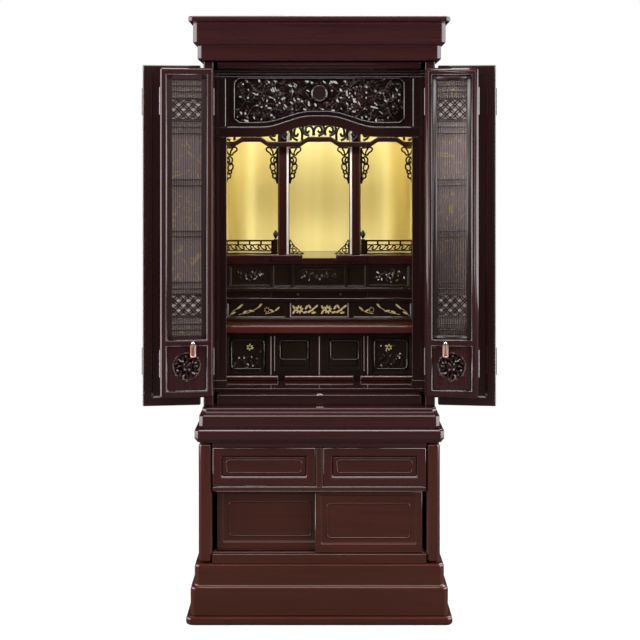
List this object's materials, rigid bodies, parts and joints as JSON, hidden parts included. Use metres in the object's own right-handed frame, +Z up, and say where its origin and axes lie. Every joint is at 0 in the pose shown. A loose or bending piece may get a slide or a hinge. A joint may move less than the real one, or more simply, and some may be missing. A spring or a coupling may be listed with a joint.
{
  "type": "household altar cabinet",
  "caption": "Tall lacquered altar cabinet: drawers and sliding doors in the base, folding outer and lattice doors above, and a gilt altar with carved transom and pillars inside.",
  "frame": {"origin": "middle of the foot board's underside", "axes": "+Z up, the front faces -Y, +X to the right of someone facing the front"},
  "size_m": [0.8256, 0.5045, 1.39],
  "materials": {
    "rosewood": "high-gloss dark lacquer",
    "red_rosewood": "high-gloss red-brown lacquer",
    "dark_rosewood": "high-gloss near-black lacquer",
    "gilt": "satin gold leaf on paper",
    "copper": "polished copper",
    "hinge_steel": "satin",
    "gauze": "fine gauze with gold thread",
    "inlay_gold": "gold inlay"
  },
  "bodies": {
    "cabinet": {"foot_board": "rosewood", "plinth": "red_rosewood", "base_side_left": "red_rosewood", "base_side_right": "red_rosewood", "base_floor": "red_rosewood", "base_shelf": "red_rosewood", "base_back": "red_rosewood", "base_top": "rosewood", "cabinet_base": "rosewood", "door_sill": "dark_rosewood", "altar_floor": "dark_rosewood", "cabinet_side_left": "rosewood", "cabinet_side_right": "rosewood", "cabinet_back": "rosewood", "ceiling": "rosewood", "crown": "rosewood", "transom": "dark_rosewood", "transom_carving": "dark_rosewood", "jamb_left": "dark_rosewood", "jamb_right": "dark_rosewood", "gilt_lining": "gilt", "platform": "rosewood", "dado": "dark_rosewood", "drawer_case": "dark_rosewood", "inlay_case": "dark_rosewood", "lower_shelf": "red_rosewood", "cupboard": "dark_rosewood", "low_rail_left": "red_rosewood", "low_rail_middle": "red_rosewood", "low_rail_right": "red_rosewood", "pillar_left": "dark_rosewood", "pillar_right": "dark_rosewood", "valance": "dark_rosewood", "fretwork": "dark_rosewood", "bracket_left_wall": "dark_rosewood", "bracket_left_outer": "dark_rosewood", "bracket_left_inner": "dark_rosewood", "bracket_right_wall": "dark_rosewood", "bracket_right_outer": "dark_rosewood", "bracket_right_inner": "dark_rosewood", "balustrade_left": "dark_rosewood", "balustrade_right": "dark_rosewood", "corner_bracket_left": "dark_rosewood", "corner_bracket_right": "dark_rosewood"},
    "outer_left": {"outer_door_left": "rosewood"},
    "outer_end_left": {"outer_end_door_left": "rosewood"},
    "lattice_left": {"lattice_door_left": "rosewood"},
    "lattice_end_left": {"lattice_end_door_left": "rosewood", "pull_left": "copper"},
    "drawer_left": {"drawer_left": "red_rosewood"},
    "sliding_left": {"sliding_door_left": "red_rosewood"},
    "outer_right": {"outer_door_right": "rosewood"},
    "outer_end_right": {"outer_end_door_right": "rosewood"},
    "lattice_right": {"lattice_door_right": "rosewood"},
    "lattice_end_right": {"lattice_end_door_right": "rosewood", "pull_right": "copper"},
    "drawer_right": {"drawer_right": "red_rosewood"},
    "sliding_right": {"sliding_door_right": "red_rosewood"},
    "small_drawer": {"altar_drawer": "rosewood"}
  },
  "joints": [
    {"name": "outer_left_hinge", "type": "hinge", "parent": "cabinet", "child": "outer_left", "pos_m": [-0.272, -0.21, 0.885], "axis": [0, 0, 1], "range_deg": [0, 173]},
    {"name": "outer_left_fold", "type": "hinge", "parent": "outer_left", "child": "outer_end_left", "pos_m": [-0.41085, -0.20539, 0.885], "axis": [0, 0, 1], "range_deg": [0, 180]},
    {"name": "lattice_left_hinge", "type": "hinge", "parent": "cabinet", "child": "lattice_left", "pos_m": [-0.2455, -0.207, 0.895], "axis": [0, 0, 1], "range_deg": [0, 173]},
    {"name": "lattice_left_fold", "type": "hinge", "parent": "lattice_left", "child": "lattice_end_left", "pos_m": [-0.36512, -0.2441, 0.895], "axis": [0, 0, -1], "range_deg": [0, 180]},
    {"name": "drawer_left_slide", "type": "slide", "parent": "cabinet", "child": "drawer_left", "axis": [0, -1, 0], "range_m": [0, 0.25]},
    {"name": "sliding_left_slide", "type": "slide", "parent": "cabinet", "child": "sliding_left", "axis": [1, 0, 0], "range_m": [-0.008, 0.228]},
    {"name": "outer_right_hinge", "type": "hinge", "parent": "cabinet", "child": "outer_right", "pos_m": [0.272, -0.21, 0.885], "axis": [0, 0, -1], "range_deg": [0, 173]},
    {"name": "outer_right_fold", "type": "hinge", "parent": "outer_right", "child": "outer_end_right", "pos_m": [0.41085, -0.20539, 0.885], "axis": [0, 0, -1], "range_deg": [0, 180]},
    {"name": "lattice_right_hinge", "type": "hinge", "parent": "cabinet", "child": "lattice_right", "pos_m": [0.2455, -0.207, 0.895], "axis": [0, 0, -1], "range_deg": [0, 173]},
    {"name": "lattice_right_fold", "type": "hinge", "parent": "lattice_right", "child": "lattice_end_right", "pos_m": [0.36512, -0.2441, 0.895], "axis": [0, 0, 1], "range_deg": [0, 180]},
    {"name": "drawer_right_slide", "type": "slide", "parent": "cabinet", "child": "drawer_right", "axis": [0, -1, 0], "range_m": [0, 0.25]},
    {"name": "sliding_right_slide", "type": "slide", "parent": "cabinet", "child": "sliding_right", "axis": [-1, 0, 0], "range_m": [-0.008, 0.228]},
    {"name": "altar_drawer_slide", "type": "slide", "parent": "cabinet", "child": "small_drawer", "axis": [0, -1, 0], "range_m": [0, 0.08]}
  ],
  "couplings": [
    {"joint": "lattice_left_hinge", "follows": "outer_left_hinge", "ratio": 1},
    {"joint": "lattice_right_hinge", "follows": "outer_right_hinge", "ratio": 1}
  ]
}
